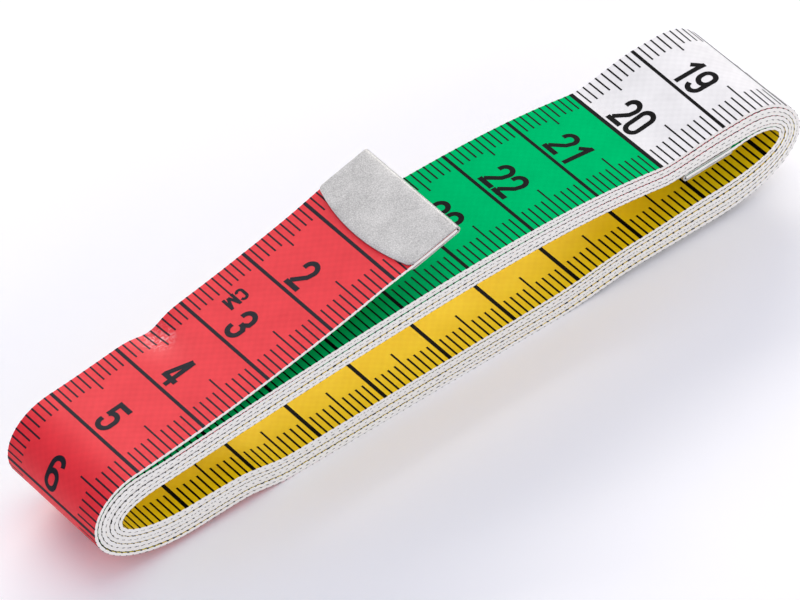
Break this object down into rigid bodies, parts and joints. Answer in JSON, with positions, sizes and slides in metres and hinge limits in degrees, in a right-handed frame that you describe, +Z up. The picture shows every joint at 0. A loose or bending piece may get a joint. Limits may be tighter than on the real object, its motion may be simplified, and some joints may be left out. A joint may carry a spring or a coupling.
{
  "type": "cloth tape measure",
  "caption": "Flexible woven sewing tape measure with folded metal tips, wound into a long low flattened loop whose outer end stands off the winding.",
  "frame": {"origin": "bottom centre of the wound tape measure as it lies on a table", "axes": "+Z up from the table, +X along the loop towards the bend that holds the inner end, +Y across the tape, away from the viewer"},
  "size_m": [0.109, 0.0196, 0.024],
  "materials": {
    "tape_winding": "satin vinyl coating over a fine glass-fibre weave, yellow back, coloured front, white cut edges",
    "tape_lead": "satin red vinyl coating over a fine glass-fibre weave",
    "tip_nickel": "satin nickel plate"
  },
  "bodies": {
    "coil": {"tape_coil": "tape_winding"},
    "lead_root": {"tape_lead_root": "tape_lead"},
    "lead_mid": {"tape_lead_mid": "tape_lead"},
    "lead_end": {"tape_lead_end": "tape_lead", "outer_tip": "tip_nickel"},
    "inner_end": {"tape_inner_lead": "tape_winding", "inner_tip": "tip_nickel"}
  },
  "joints": [
    {"name": "lead_lift", "type": "hinge", "parent": "coil", "child": "lead_root", "pos_m": [-0.04453, 0, 0.01478], "axis": [0, -1, 0], "range_deg": [0, 30], "stiffness_Nm_per_rad": 0.013, "springref_deg": 1.72},
    {"name": "lead_bend", "type": "hinge", "parent": "lead_root", "child": "lead_mid", "pos_m": [-0.02865, 0, 0.01664], "axis": [0, -1, 0], "range_deg": [-8, 30], "stiffness_Nm_per_rad": 0.013, "springref_deg": 1.43},
    {"name": "lead_curl", "type": "hinge", "parent": "lead_mid", "child": "lead_end", "pos_m": [-0.01291, 0, 0.01953], "axis": [0, -1, 0], "range_deg": [-6, 30], "stiffness_Nm_per_rad": 0.013, "springref_deg": 0.57},
    {"name": "inner_end_bend", "type": "hinge", "parent": "coil", "child": "inner_end", "pos_m": [0.0481, 0, 0.00965], "axis": [0, -1, 0], "range_deg": [0, 12], "stiffness_Nm_per_rad": 0.018, "springref_deg": -1.15}
  ]
}
